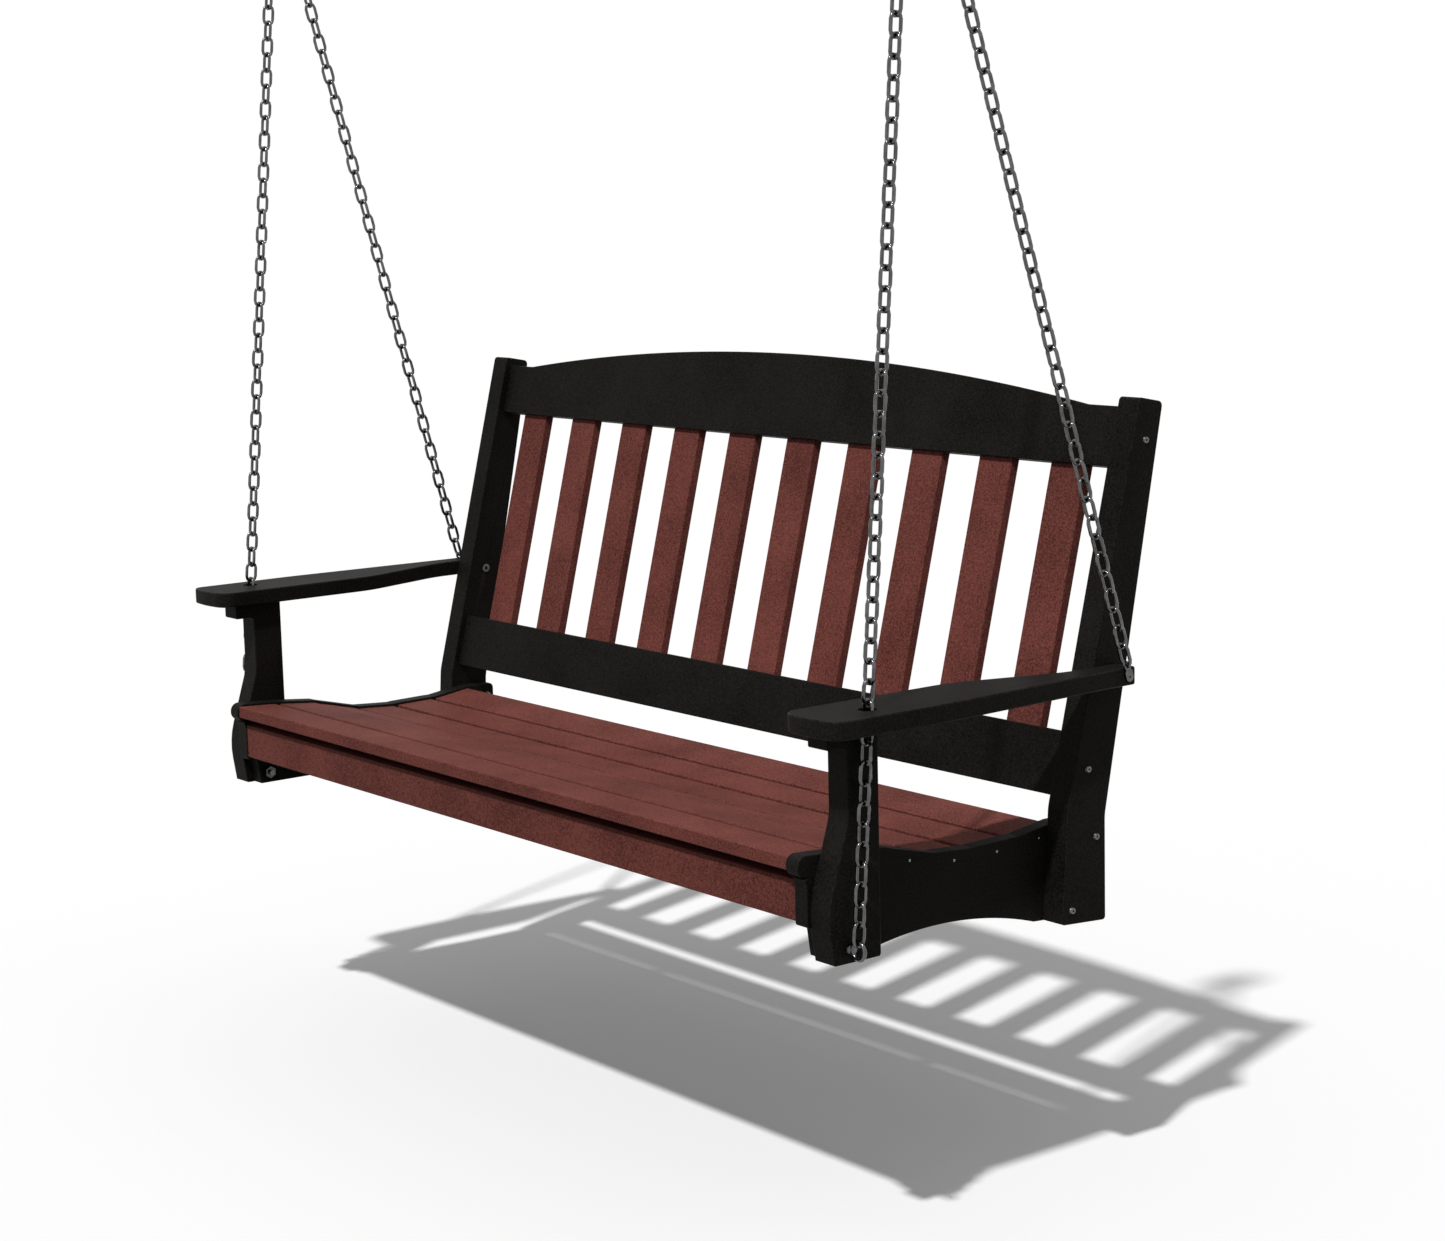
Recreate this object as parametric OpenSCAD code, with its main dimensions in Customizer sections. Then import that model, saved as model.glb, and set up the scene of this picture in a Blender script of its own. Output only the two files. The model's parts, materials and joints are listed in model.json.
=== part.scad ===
// Porch swing seat: a slatted two-to-three seat bench hung from the ceiling by
// four chains, two rings and two hangers.
// Axes: +X to the right seen from the front, the front faces -Y, +Z up.
// Left and right are as seen from the front.
// The origin lies on the ceiling, midway between the two hangers.
//
// The pieces are drawn about a working point: depths (Y) are counted from the
// chain holes in the arms, heights (Z) from the arm tops. place() then moves
// everything to the ceiling origin. Points of side outlines are [y, z].

/* [Bench] */
// Clear width between the posts
inside_w = 1450; // [1200:10:1600]
// Thickness of the posts, side to side
post_t = 38; // [34:1:46]
// Thickness of the seat side rails
side_rail_t = 24; // [20:1:30]
// Height of the arm tops above the front seat slat
arm_h = 187; // [170:1:230]
// Radius of the eased edges of seat slats, apron, stretchers and back rails
ease_r = 1.6; // [0.8:0.1:5]

/* [Seat] */
// Width of a seat slat
slat_w = 66; // [58:1:72]
// Thickness of a seat slat
slat_t = 18; // [14:1:22]
// Gap between two seat slats
slat_gap = 8.5; // [5:0.5:12]
// Distance of the front slat's middle ahead of the chain holes
slat_lead = 38; // [34:1:42]
// Height of the side rails above the slats that lie between them
rail_lip = 4; // [2:0.5:8]
// Thickness of the front apron
apron_t = 22; // [18:1:26]
// Height of the front apron
apron_h = 53; // [45:1:58]
// Shadow gap between the front slat and the apron
apron_gap = 14; // [8:1:16]
// Thickness of the seat supports and the stretchers
support_t = 24; // [18:1:32]
// Depth of the seat supports under the lowest slat
support_h = 36; // [28:1:48]
// Distance between the two seat supports
support_spacing = 680; // [500:10:900]
// Height of the front stretcher, which backs the apron
front_stretcher_h = 45; // [36:1:56]
// Height of the rear stretcher
stretcher_h = 52; // [44:1:64]

/* [Seat side rails] */
// Reach of the rail's front face ahead of the chain holes
rail_reach = 61; // [56:1:66]
// Overhang of the rounded nose past the front face
nose_reach = 14; // [10:1:18]
// Height of the rounded nose
nose_h = 29; // [26:1:34]
// Depth of the groove under the nose
cove_d = 4; // [2:0.5:8]
// Height of the groove under the nose
cove_h = 1.6; // [1:0.2:4]
// Reach of the lip under the groove past the front face
lip_reach = 3.5; // [1:0.5:5]
// Height of the lip
lip_h = 10; // [6:1:16]
// Height of the rail's front face under the groove
rail_face_h = 63; // [58:1:68]
// Set-back of the rail's sole behind its front face
sole_back = 23; // [20:1:30]
// Slant of the step between the front face and the sole
step_slant = 6; // [4:0.5:8]
// Length of the rail's flat sole
sole_l = 96; // [80:1:110]
// Rise of the arch behind the sole
arch_rise = 16; // [8:1:24]
// Length of the rail's heel behind the arch
heel_l = 95; // [88:1:104]

/* [Front posts] */
// Distance of the posts' back edge behind the chain holes
post_back = 26; // [24:1:32]
// Depth of the neck
post_neck_d = 50; // [44:1:56]
// Depth of the belly, at its corner before it is rounded
post_belly_d = 86; // [80:1:92]
// Depth of the foot
post_foot_d = 76; // [70:1:82]
// Depth of the lug that carries the arm
post_lug_d = 81.5; // [74:0.5:90]
// Height of the lug
post_lug_h = 22.5; // [18:0.5:28]
// Height of the neck's lower end above the seat
post_neck_end = 51; // [40:1:62]
// Depth of the belly's corner below the seat
post_belly_drop = 63; // [54:1:74]
// Drop of the foot below the seat
post_foot_drop = 130; // [118:1:142]

/* [Back posts] */
// Distance of the back posts' rear face behind the last slat
back_clear = 53.5; // [48:0.5:60]
// Lean of the back from upright, in degrees
back_lean = 14.4; // [10:0.1:18]
// Length of the leaning front edge, knee to top
back_post_l = 549; // [500:1:620]
// Depth of a back post at its top
back_post_top_d = 44; // [38:1:50]
// Depth of a back post at its knee
back_post_knee_d = 69; // [64:1:74]
// Depth of a back post at its foot
back_post_foot_d = 80; // [76:1:86]
// Drop of the rear knee below the front knee
knee_drop = 16; // [8:1:24]
// Drop of a back post's foot below the seat, at the rear
back_foot_drop = 156.5; // [148:0.5:166]

/* [Back] */
// Thickness of the back rails
back_rail_t = 25; // [22:1:30]
// Set-back of the back rails behind the back posts' front edges
back_rail_inset = 11; // [6:1:13]
// Height of the bottom rail above the knee, along the back
bottom_rail_up = 15; // [10:1:24]
// Height of the bottom rail
bottom_rail_h = 86; // [70:1:100]
// Clear length of the back slats between the rails
back_clear_l = 355; // [300:1:380]
// Height of the top rail at its ends
top_rail_h = 81; // [60:1:90]
// Extra height of the top rail's arch in the middle
crown_h = 46.5; // [10:0.5:70]
// Length of the top rail's straight shoulders
shoulder_l = 64; // [40:1:100]
// Width of a back slat
back_slat_w = 65; // [55:1:75]
// Thickness of a back slat
back_slat_t = 14; // [12:1:16]
// Set-back of the back slats behind the rails' front faces
back_slat_inset = 7.5; // [5:0.5:8]
// Gap between the outermost back slats and the posts
back_end_gap = 57; // [45:1:75]
// Radius of the eased edges of the back slats
back_slat_ease = 0.8; // [0.4:0.1:3]
// Depth of the back slats' tenons in the rails
tenon_l = 14; // [8:1:20]

/* [Arms] */
// Thickness of an arm
arm_t = 24; // [20:1:30]
// Reach of the arm outside the front post
arm_reach = 53; // [50:1:60]
// Lap of the arm inside the front post
arm_lap = 14; // [8:1:24]
// Reach of the arm's front corners ahead of the chain hole
arm_front = 84; // [76:1:96]
// Swell of the arm's front edge, at its corner before it is rounded
arm_bow = 7; // [4:1:10]
// Width of the arm's tail beside the back post
arm_tail_w = 36; // [30:1:44]
// Length of the arm behind its bolt
arm_tail_l = 15; // [12:1:18]
// Length of the arm's inner sweep
arm_sweep_l = 160; // [130:1:200]
// Distance of the sweep's end ahead of the back post
arm_sweep_clear = 41; // [30:1:60]
// Distance from the chain hole to where the outer edge starts to taper
arm_taper_start = 100; // [60:5:160]

/* [Fasteners] */
// Shank of the frame bolts
bolt_d = 6; // [5:0.5:8]
// Head of the frame bolts
bolt_head_d = 10; // [9:0.5:13]
// Height of a frame bolt's head
bolt_head_h = 2.5; // [2:0.5:4]
// Hexagon socket in the bolt heads, across corners
socket_d = 3.7; // [3.5:0.1:5.5]
// Length of the bolts' grip in the ends of the back rails
rail_grip = 60; // [40:1:90]
// Distance of the lower bolts from the back posts' edges
bolt_edge = 17.5; // [14:0.5:22]
// Across corners of the cap nuts
cap_nut_d = 12; // [11:0.5:14]
// Height of a cap nut with its dome
cap_nut_h = 9; // [8:0.5:12]
// Shank of the wood screws
screw_d = 3.5; // [3:0.5:4.5]
// Head of the wood screws
screw_head_d = 6; // [5.5:0.5:8]
// Height of a wood screw's head
screw_head_h = 3; // [2.5:0.5:4]
// Grip of the wood screws in the second piece
screw_grip = 26; // [18:1:30]
// Board left above the tip of the arm screw
arm_screw_cover = 6; // [3:1:9]
// Radial play of bolts, screws and tenons in their holes
play = 0.1; // [0.05:0.05:0.3]

/* [Chain fittings] */
// Diameter of the eyebolts' threaded shanks
eye_shank_d = 8; // [7:0.5:9]
// Wire of the eye
eye_wire = 5.5; // [5:0.1:6.5]
// Outer diameter of the eye
eye_d = 28; // [25:0.5:29.5]
// Distance of the eye's middle from the post
eye_stand = 15; // [15:0.5:18]
// Diameter of the eyebolt's collar
collar_d = 15; // [13:0.5:18]
// Thickness of the eyebolt's collar
collar_t = 3.5; // [3:0.5:5]
// Distance of the eyebolt ahead of the chain hole
eye_lead = 24; // [20:1:28]
// Height of the eyebolt above the post's sole
eye_up = 18; // [15:1:22]
// Across corners of the eyebolt's nut
eye_nut_d = 19.6; // [17:0.1:21]
// Height of the eyebolt's nut
eye_nut_h = 8; // [6:0.5:9]
// Thread that shows past the nut
eye_thread_end = 5; // [2:1:9]
// Thickness of a chain strap
strap_t = 3; // [2.5:0.5:4]
// Width of a chain strap
strap_w = 13; // [12:0.5:16]
// Rise of the strap's eye over the arm's top, along the strap
strap_rise = 4; // [3.5:0.5:12]
// Diameter of the strap's eye
strap_eye_d = 6.6; // [6.4:0.2:8]
// Web around the strap's eye
strap_web = 2.6; // [2.2:0.2:4]
// Head of the arm bolt, flush in the strap
arm_bolt_head_d = 10.5; // [9.5:0.5:11.5]
// Rim of the sleeve nut on the inside of the back post
sleeve_rim_d = 14; // [12:0.5:18]
// Outer diameter of the sleeve
sleeve_d = 9; // [8.5:0.5:10]
// Length of the sleeve inside the back post
sleeve_l = 26; // [20:1:32]

/* [Chains] */
// Wire of the chain
chain_wire = 5; // [4:0.25:5.5]
// Inner width of a link
link_w = 11; // [10:0.5:12]
// Nominal pitch of a link
link_pitch = 25; // [22:0.25:32]
// Gap between neighbouring links
link_play = 0.1; // [0.05:0.05:0.3]
// Room around the chain in the arm's hole
hole_room = 1.5; // [1:0.5:4]

/* [Hanging] */
// Height of the rings' middles above the arm tops
ring_h = 1143; // [800:1:1500]
// Distance of the rings behind the chain holes
ring_back = 98; // [70:1:130]
// Distance of the rings inside the posts' outer faces
ring_inset = 1; // [0:1:6]
// Wire of a ring
ring_wire = 8; // [7:0.5:9]
// Room between a front and a rear chain, where they leave the ring
chain_room = 3.5; // [0.5:0.5:6]
// Wire of a hanger's loop
hanger_wire = 8; // [7:0.5:9]
// Inner width of a hanger's loop
hanger_loop_w = 24; // [20:1:30]
// Radius of the loop's bends, in the middle of its wire
hanger_bend_r = 10; // [8:0.5:12]
// Distance from the hanger plate to the loop's lowest wire
hanger_drop = 30; // [26:1:40]
// Gap between a ring and its hanger's loop
hang_play = 0.3; // [0.3:0.1:0.6]
// Width of a hanger plate
plate_w = 50; // [44:1:70]
// Length of a hanger plate, front to back
plate_l = 110; // [104:1:140]
// Thickness of a hanger plate
plate_t = 5; // [4:0.5:8]
// Distance between a hanger plate's two screw holes
plate_hole_spacing = 80; // [76:1:84]
// Diameter of the hanger plates' screw holes
plate_hole_d = 9; // [6:0.5:11]

/* [Hidden] */
last_slat = 5;
back_slats = 10;
$fn = 48;
black_board = [0.13, 0.13, 0.12];
red_board = [0.41, 0.23, 0.21];
steel = [0.5, 0.5, 0.52];

// Side to side
inner_x = inside_w / 2;
outer_x = inner_x + post_t;
rail_x = inner_x - side_rail_t;

// Seat curve, front to back: drop of each slat below the front one, and its
// tilt in degrees, positive where the slat falls to the rear.
seat_curve = [[0, 3.5], [6.5, 6], [21, 14], [33.5, 4], [34.5, -1], [29.5, -8]];
seat_z = -arm_h;
slat_pitch = slat_w + slat_gap;

function slat_tilt(i) = seat_curve[i][1];
// Point of slat i: along its width from the middle, and up from its top face
function slat_point(i, along, up) =
    let (a = slat_tilt(i))
    [-slat_lead + i * slat_pitch, seat_z - seat_curve[i][0]]
    + along * [cos(a), -sin(a)] + up * [sin(a), cos(a)];
// Height of slat i's underside at depth y
function under_z(i, y) =
    let (p = slat_point(i, 0, -slat_t))
    p[1] - (y - p[0]) * tan(slat_tilt(i));

// Back posts. The knee is where the back starts to lean.
back_y = slat_point(last_slat, 0, 0)[0] + slat_w / 2 + back_clear;
knee = [back_y - back_post_knee_d, seat_z + 2];
foot_slope = 4;
top_fall = 11;
lean_up = [sin(back_lean), cos(back_lean)];
lean_in = [cos(back_lean), -sin(back_lean)];
post_top = knee + back_post_l * lean_up;
post_top_rear = post_top + back_post_top_d * [cos(top_fall), -sin(top_fall)];
rear_knee = [back_y, knee[1] - knee_drop];

// Height of the sloping foot of the back posts and side rails at depth y
function foot_z(y) = seat_z - back_foot_drop + (back_y - y) * tan(foot_slope);
// Point of the back: depth behind the front edge and length up the lean
function back_point(depth, up) = knee + depth * lean_in + up * lean_up;

// Levels up the back
bottom_rail_mid = bottom_rail_up + bottom_rail_h / 2;
slat_start = bottom_rail_up + bottom_rail_h;
top_rail_start = slat_start + back_clear_l;
top_rail_mid = top_rail_start + top_rail_h / 2;
rail_mid_depth = back_rail_inset + back_rail_t / 2;
back_slat_pitch = (inside_w - 2 * back_end_gap - back_slat_w) / (back_slats - 1);

// Front posts, apron and side rails
sole_z = seat_z - post_foot_drop;
rail_face_y = -rail_reach;
nose_y = rail_face_y - nose_reach;
nose_top = slat_point(0, -slat_w / 2, rail_lip)[1];
cove_top = nose_top - nose_h;
cove_y = max(rail_face_y - lip_reach + cove_d, nose_y + nose_h / 2);
face_top = cove_top - cove_h;
face_end = face_top - rail_face_h;
apron_recess = 2;
apron_y = rail_face_y + apron_recess;
apron_top = slat_point(0, -slat_w / 2, -slat_t)[1] - apron_gap;
sole_y = rail_face_y + sole_back;
heel_y = back_y - heel_l;
rail_end_y = back_y - 2;

// Stretchers and seat supports under the slats
front_stretcher_y = apron_y + apron_t;
support_y = front_stretcher_y + support_t;
front_stretcher_top = min(under_z(0, support_y), under_z(1, support_y));
stretcher_y = slat_point(last_slat, 0, 0)[0] + slat_w / 2 - support_t / 2;
stretcher_top = slat_point(last_slat, slat_w / 2, -slat_t)[1] - slat_t / 3;
support_z = min([for (i = [0:last_slat]) slat_point(i, 0, -slat_t)[1]]) - support_h;

// Bolts and screws, [y, z] on the sides
arm_mid_z = -arm_t / 2;
arm_bolt_y = (front_edge_y(arm_mid_z) + rear_edge_y(arm_mid_z)) / 2;
arm_bolt = [arm_bolt_y, arm_mid_z];
upper_bolts = [back_point(rail_mid_depth, top_rail_mid), back_point(rail_mid_depth, bottom_rail_mid)];
lower_bolts = [
    [back_y - bolt_edge, slat_point(last_slat, slat_w / 2, rail_lip)[1] - bolt_edge - 2],
    [back_y - back_post_foot_d + bolt_edge, foot_z(back_y - back_post_foot_d) + bolt_edge]
];
slat_screws = [for (i = [0:last_slat]) slat_point(i, 0, -slat_t / 2)];
apron_screws = [for (f = [0.3, 0.7]) [apron_y + apron_t / 2, apron_top - f * apron_h]];
front_screws = [for (f = [0.3, 0.7])
    [front_stretcher_y + support_t / 2, front_stretcher_top - f * front_stretcher_h]];
rear_screws = [for (f = [0.3, 0.7]) [stretcher_y + support_t / 2, stretcher_top - f * stretcher_h]];
rail_screws_at = concat(slat_screws, apron_screws, front_screws, rear_screws);
post_screws_at = [for (z = [seat_z - 50, seat_z - 90]) [post_back - post_neck_d / 3, z]];
arm_screw_grip = arm_t - arm_screw_cover;
arm_screw_at = [inner_x + post_t / 2, post_back - post_lug_d + post_lug_d / 6];

function front_edge_y(z) = knee[0] + (z - knee[1]) * tan(back_lean);
function rear_edge_y(z) =
    rear_knee[0] + (z - rear_knee[1]) * (post_top_rear[0] - rear_knee[0]) / (post_top_rear[1] - rear_knee[1]);

// Chain routes, right-hand side
ring_x = outer_x - ring_inset;
eye_r = (eye_d - eye_wire) / 2;
eye_at = [outer_x + eye_stand, -eye_lead, sole_z + eye_up];
eye_bar = eye_at + [0, 0, eye_r];
strap_x = outer_x + arm_tail_w;
strap_dir = unit([ring_back - arm_bolt[0], ring_h - arm_bolt[1]]);
strap_angle = atan2(-strap_dir[0], strap_dir[1]);
strap_l = arm_t / 2 + strap_rise;
web_mid = strap_l + strap_eye_d / 2 + strap_web / 2;
strap_web_at = arm_bolt + web_mid * strap_dir;
strap_bar = [strap_x + strap_t / 2, strap_web_at[0], strap_web_at[1]];
// The strap's web is flat, so the link's round end stands a little off it
web_room = 0.6;
// The ring is as large as keeps the chains' second links apart: these lie in the
// plane of the two chains, and both chains point at the ring's middle.
between = (atan2(strap_bar[1] - ring_back, ring_h - strap_bar[2])
    + atan2(ring_back - eye_bar[1], ring_h - eye_bar[2])) / 2;
link_half_w = link_w / 2 + chain_wire;
second_link_end = link_pitch + link_w / 2 - ring_wire / 2;
ring_r = ceil(2 * ((link_half_w + chain_room / 2) / sin(between) - second_link_end)) / 2;
ring_at = [ring_x, ring_back, ring_h];
front_hang = on_ring(eye_bar);
rear_hang = on_ring(strap_bar);
hole_at = (front_hang * (arm_mid_z - eye_bar[2]) + eye_bar * (front_hang[2] - arm_mid_z))
    / (front_hang[2] - eye_bar[2]);
chain_hole_d = link_w + 2 * chain_wire + 2 * hole_room;

// Ceiling
loop_half_w = (hanger_loop_w + hanger_wire) / 2;
loop_up = ring_r - ring_wire / 2 - hanger_wire / 2 - hang_play;
ceiling_z = ring_h + loop_up + hanger_drop + plate_t;

// Middle of the ring's wire where a chain that runs to point p hangs
function on_ring(p) =
    let (d = unit([p[1] - ring_back, p[2] - ring_h]))
    ring_at + ring_r * [0, d[0], d[1]];
function unit(v) = v / norm(v);

// Rounds the corner at b, between a and c, to radius b[2]
function corner(a, b, c) =
    let (
        at = [b[0], b[1]],
        u = unit([a[0], a[1]] - at),
        v = unit([c[0], c[1]] - at),
        half = acos(u * v) / 2,
        r = b[2],
        centre = at + unit(u + v) * r / sin(half),
        start = at + u * r / tan(half) - centre,
        first = atan2(start[1], start[0]),
        turn = -sign(cross(u, v)) * (180 - 2 * half),
        steps = ceil(abs(turn) / 7.5)
    )
    r == 0
        ? [at]
        : [for (k = [0:steps]) let (t = first + turn * k / steps) centre + r * [cos(t), sin(t)]];
// Outline through corners [x, y, radius]
function rounded(p) =
    let (n = len(p))
    [for (i = [0:n - 1]) each corner(p[(i + n - 1) % n], p[i], p[(i + 1) % n])];
// Arc from a to b, standing out by rise to the left of the way from a to b
function bow(a, b, rise, steps) =
    let (
        half = norm(b - a) / 2,
        r = (half * half + rise * rise) / (2 * rise),
        along = unit(b - a),
        out = [-along[1], along[0]],
        centre = (a + b) / 2 - out * (r - rise),
        open = asin(half / r)
    )
    [for (k = [0:steps]) let (t = open * (2 * k / steps - 1)) centre + r * (out * cos(t) + along * sin(t))];
function sharp(points) = [for (p = points) [p[0], p[1], 0]];

module place() { translate([0, -ring_back, -ceiling_z]) children(); }
module right() { place() children(); }
module left() { place() mirror([1, 0, 0]) children(); }

// Board with a [y, z] outline, from x to x + t
module side_board(x, t, outline) {
    translate([x, 0, 0]) rotate([90, 0, 90]) linear_extrude(t) polygon(outline);
}
// Rectangle with corners eased to radius r, centred
module eased(w, h, r) {
    square([w - 2 * r, h], center = true);
    square([w, h - 2 * r], center = true);
    for (x = [-1, 1], y = [-1, 1]) translate([x * (w / 2 - r), y * (h / 2 - r)]) circle(r);
}
// Board between the side rails: its cross-section is [depth, height], centred
module cross_board(length, depth, height) {
    translate([-length / 2, 0, 0]) rotate([90, 0, 90]) linear_extrude(length)
        eased(depth, height, ease_r);
}
// Cylinder along X from x0 to x1 through [y, z] point p
module along_x(p, d, x0, x1) {
    translate([x0, p[0], p[1]]) rotate([0, 90, 0]) cylinder(h = x1 - x0, d = d);
}
// Moves children so that their +Z points along -X from the point [x, y, z]
module inward(x, p) { translate([x, p[0], p[1]]) rotate([0, -90, 0]) children(); }
module outward(x, p) { translate([x, p[0], p[1]]) rotate([0, 90, 0]) children(); }

// Wood screw with its head's top at z = 0, pointing up
module wood_screw(through, grip = screw_grip) {
    tip = 2 * screw_d;
    difference() {
        union() {
            cylinder(h = screw_head_h, d = screw_head_d);
            cylinder(h = through + grip - tip, d = screw_d);
            translate([0, 0, through + grip - tip]) cylinder(h = tip, d1 = screw_d, d2 = 0.6);
        }
        translate([0, 0, -1]) cylinder(h = 1 + screw_head_h / 2, d = screw_head_d / 2.5, $fn = 6);
    }
}
module screw_hole(through, grip = screw_grip) {
    translate([0, 0, -1]) cylinder(h = 1 + screw_head_h + play, d = screw_head_d + 2 * play);
    cylinder(h = through + grip + play, d = screw_d + 2 * play);
}
// Frame bolt with its head's seat at z = 0, shank up
module frame_bolt(length, head_d) {
    difference() {
        union() {
            translate([0, 0, -bolt_head_h]) cylinder(h = bolt_head_h, d1 = head_d - 2, d2 = head_d);
            cylinder(h = length, d = bolt_d);
        }
        translate([0, 0, -bolt_head_h - 1]) cylinder(h = 1 + bolt_head_h * 0.8, d = socket_d, $fn = 6);
    }
}
// Flush bolt with its conical head's top at z = 0, shank up
module flush_bolt(length) {
    difference() {
        union() {
            flush_head(0);
            cylinder(h = length, d = bolt_d);
        }
        translate([0, 0, -1]) cylinder(h = 1 + strap_t / 2, d = 0.32 * arm_bolt_head_d, $fn = 6);
    }
}
// Cone of the flush head, larger by the room around it
module flush_head(room) {
    cylinder(h = 0.8 * strap_t, d1 = arm_bolt_head_d + 2 * room, d2 = bolt_d + 2 * room);
}
module hex_nut(across, height, hole_d) {
    difference() {
        cylinder(h = height, d = across, $fn = 6);
        translate([0, 0, -1]) cylinder(h = height + 2, d = hole_d);
    }
}
// Torus about Z
module wire_ring(mid_r, wire, angle = 360) {
    rotate_extrude(angle = angle) translate([mid_r, 0]) circle(d = wire);
}

module arm() {
    tail_x = strap_x;
    bolt_y = arm_bolt[0];
    sweep_end = front_edge_y(-arm_t) - arm_sweep_clear;
    color(black_board) difference() {
        translate([0, 0, -arm_t]) linear_extrude(arm_t) polygon(rounded([
            [inner_x - arm_lap, -arm_front, 25],
            [(inner_x - arm_lap + outer_x + arm_reach) / 2, -arm_front - arm_bow, 200],
            [outer_x + arm_reach, -arm_front, 18],
            [outer_x + arm_reach, arm_taper_start, 300],
            [tail_x, bolt_y - 24, 60],
            [tail_x, bolt_y + arm_tail_l, 6],
            [outer_x, bolt_y + arm_tail_l, 3],
            [outer_x, sweep_end, 150],
            [inner_x - arm_lap, sweep_end - arm_sweep_l, 150]
        ]));
        translate([hole_at[0], hole_at[1], -arm_t - 1]) cylinder(h = arm_t + 2, d = chain_hole_d);
        along_x(arm_bolt, bolt_d + 2 * play, outer_x - 1, tail_x + 1);
        arm_screw_spot() screw_hole(post_lug_h, arm_screw_grip);
    }
}
// Underside of the lug, where the arm screw starts
module arm_screw_spot() {
    translate([arm_screw_at[0], arm_screw_at[1], -arm_t - post_lug_h]) children();
}

module front_post() {
    neck_y = post_back - post_neck_d;
    lug_y = post_back - post_lug_d;
    color(black_board) difference() {
        side_board(inner_x, post_t, rounded([
            [post_back, -arm_t, 0],
            [post_back, sole_z, 4],
            [post_back - post_foot_d, sole_z, 2],
            [post_back - post_belly_d, seat_z - post_belly_drop, 130],
            [neck_y, seat_z + post_neck_end, 78],
            [neck_y, -arm_t - post_lug_h, 6],
            [lug_y, -arm_t - post_lug_h, 3],
            [lug_y, -arm_t, 0]
        ]));
        along_x([eye_at[1], eye_at[2]], eye_shank_d + 2 * play, inner_x - 1, outer_x + 1);
        for (p = post_screws_at) outward(rail_x, p) screw_hole(side_rail_t);
        arm_screw_spot() screw_hole(post_lug_h, arm_screw_grip);
    }
}

module back_post() {
    foot_y = back_y - back_post_foot_d;
    color(black_board) difference() {
        side_board(inner_x, post_t, rounded([
            [post_top[0], post_top[1], 6],
            [post_top_rear[0], post_top_rear[1], 7],
            [rear_knee[0], rear_knee[1], 60],
            [back_y, foot_z(back_y), 5],
            [foot_y, foot_z(foot_y), 5],
            [knee[0], knee[1], 60]
        ]));
        for (p = concat(upper_bolts, lower_bolts)) along_x(p, bolt_d + 2 * play, inner_x - 1, outer_x + 1);
        along_x(arm_bolt, bolt_d + 2 * play, inner_x - 1, outer_x + 1);
        along_x(arm_bolt, sleeve_d + 2 * play, inner_x - 1, inner_x + sleeve_l + play);
    }
}

module seat_rail() {
    crest = slat_point(last_slat, slat_w / 2, rail_lip)[1];
    top_line = concat(
        [slat_point(0, slat_w / 2, rail_lip)],
        [for (i = [1:last_slat], side = [-1, 1]) slat_point(i, side * slat_w / 2, rail_lip)]
    );
    color(black_board) difference() {
        side_board(rail_x, side_rail_t, rounded(concat(
            [[nose_y, nose_top, nose_h / 2 - 1]],
            [for (p = top_line) [p[0], p[1], 24]],
            [[rail_end_y, crest - 1, 8], [rail_end_y, foot_z(rail_end_y), 4]],
            sharp(bow([heel_y, foot_z(heel_y)], [sole_y + sole_l, sole_z], -arch_rise, 24)),
            [
                [sole_y, sole_z, 2],
                [sole_y - step_slant, face_end, 3],
                [rail_face_y, face_end, 4],
                [rail_face_y, face_top - lip_h, 14],
                [rail_face_y - lip_reach, face_top, 0.8],
                [cove_y, face_top, cove_h / 2 - 0.1],
                [cove_y, cove_top, cove_h / 2 - 0.1],
                [nose_y, cove_top, nose_h / 2 - 1]
            ]
        )));
        along_x([eye_at[1], eye_at[2]], eye_shank_d + 2 * play, rail_x - 1, inner_x + 1);
        for (p = lower_bolts) along_x(p, bolt_d + 2 * play, rail_x - 1, inner_x + 1);
        for (p = post_screws_at) outward(rail_x, p) screw_hole(side_rail_t);
        for (p = rail_screws_at) inward(inner_x, p) screw_hole(side_rail_t);
    }
}

// Screw holes that the side rails' screws cut in the boards between them
module rail_screw_holes(points) {
    for (p = points, side = [0, 1]) mirror([side, 0, 0]) inward(inner_x, p) screw_hole(side_rail_t);
}

module seat_slat(i) {
    mid = slat_point(i, 0, -slat_t / 2);
    color(red_board) difference() {
        translate([0, mid[0], mid[1]]) rotate([-slat_tilt(i), 0, 0]) cross_board(2 * rail_x, slat_w, slat_t);
        rail_screw_holes([slat_screws[i]]);
    }
}

module front_apron() {
    color(red_board) difference() {
        translate([0, apron_y + apron_t / 2, apron_top - apron_h / 2])
            cross_board(2 * rail_x, apron_t, apron_h);
        rail_screw_holes(apron_screws);
    }
}
module front_stretcher() {
    color(black_board) difference() {
        translate([0, front_stretcher_y + support_t / 2, front_stretcher_top - front_stretcher_h / 2])
            cross_board(2 * rail_x, support_t, front_stretcher_h);
        rail_screw_holes(front_screws);
        both_supports() support_front() screw_hole(support_t);
    }
}
// Where a support's screws start: on the front of the front stretcher, which the
// apron covers, and on the back of the rear one
module support_front() {
    translate([support_spacing / 2, front_stretcher_y, front_stretcher_top - front_stretcher_h / 2])
        rotate([-90, 0, 0]) children();
}
module support_rear() {
    translate([support_spacing / 2, stretcher_y + support_t, stretcher_top - stretcher_h / 3])
        rotate([90, 0, 0]) children();
}
module both_supports() { for (side = [0, 1]) mirror([side, 0, 0]) children(); }

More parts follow.
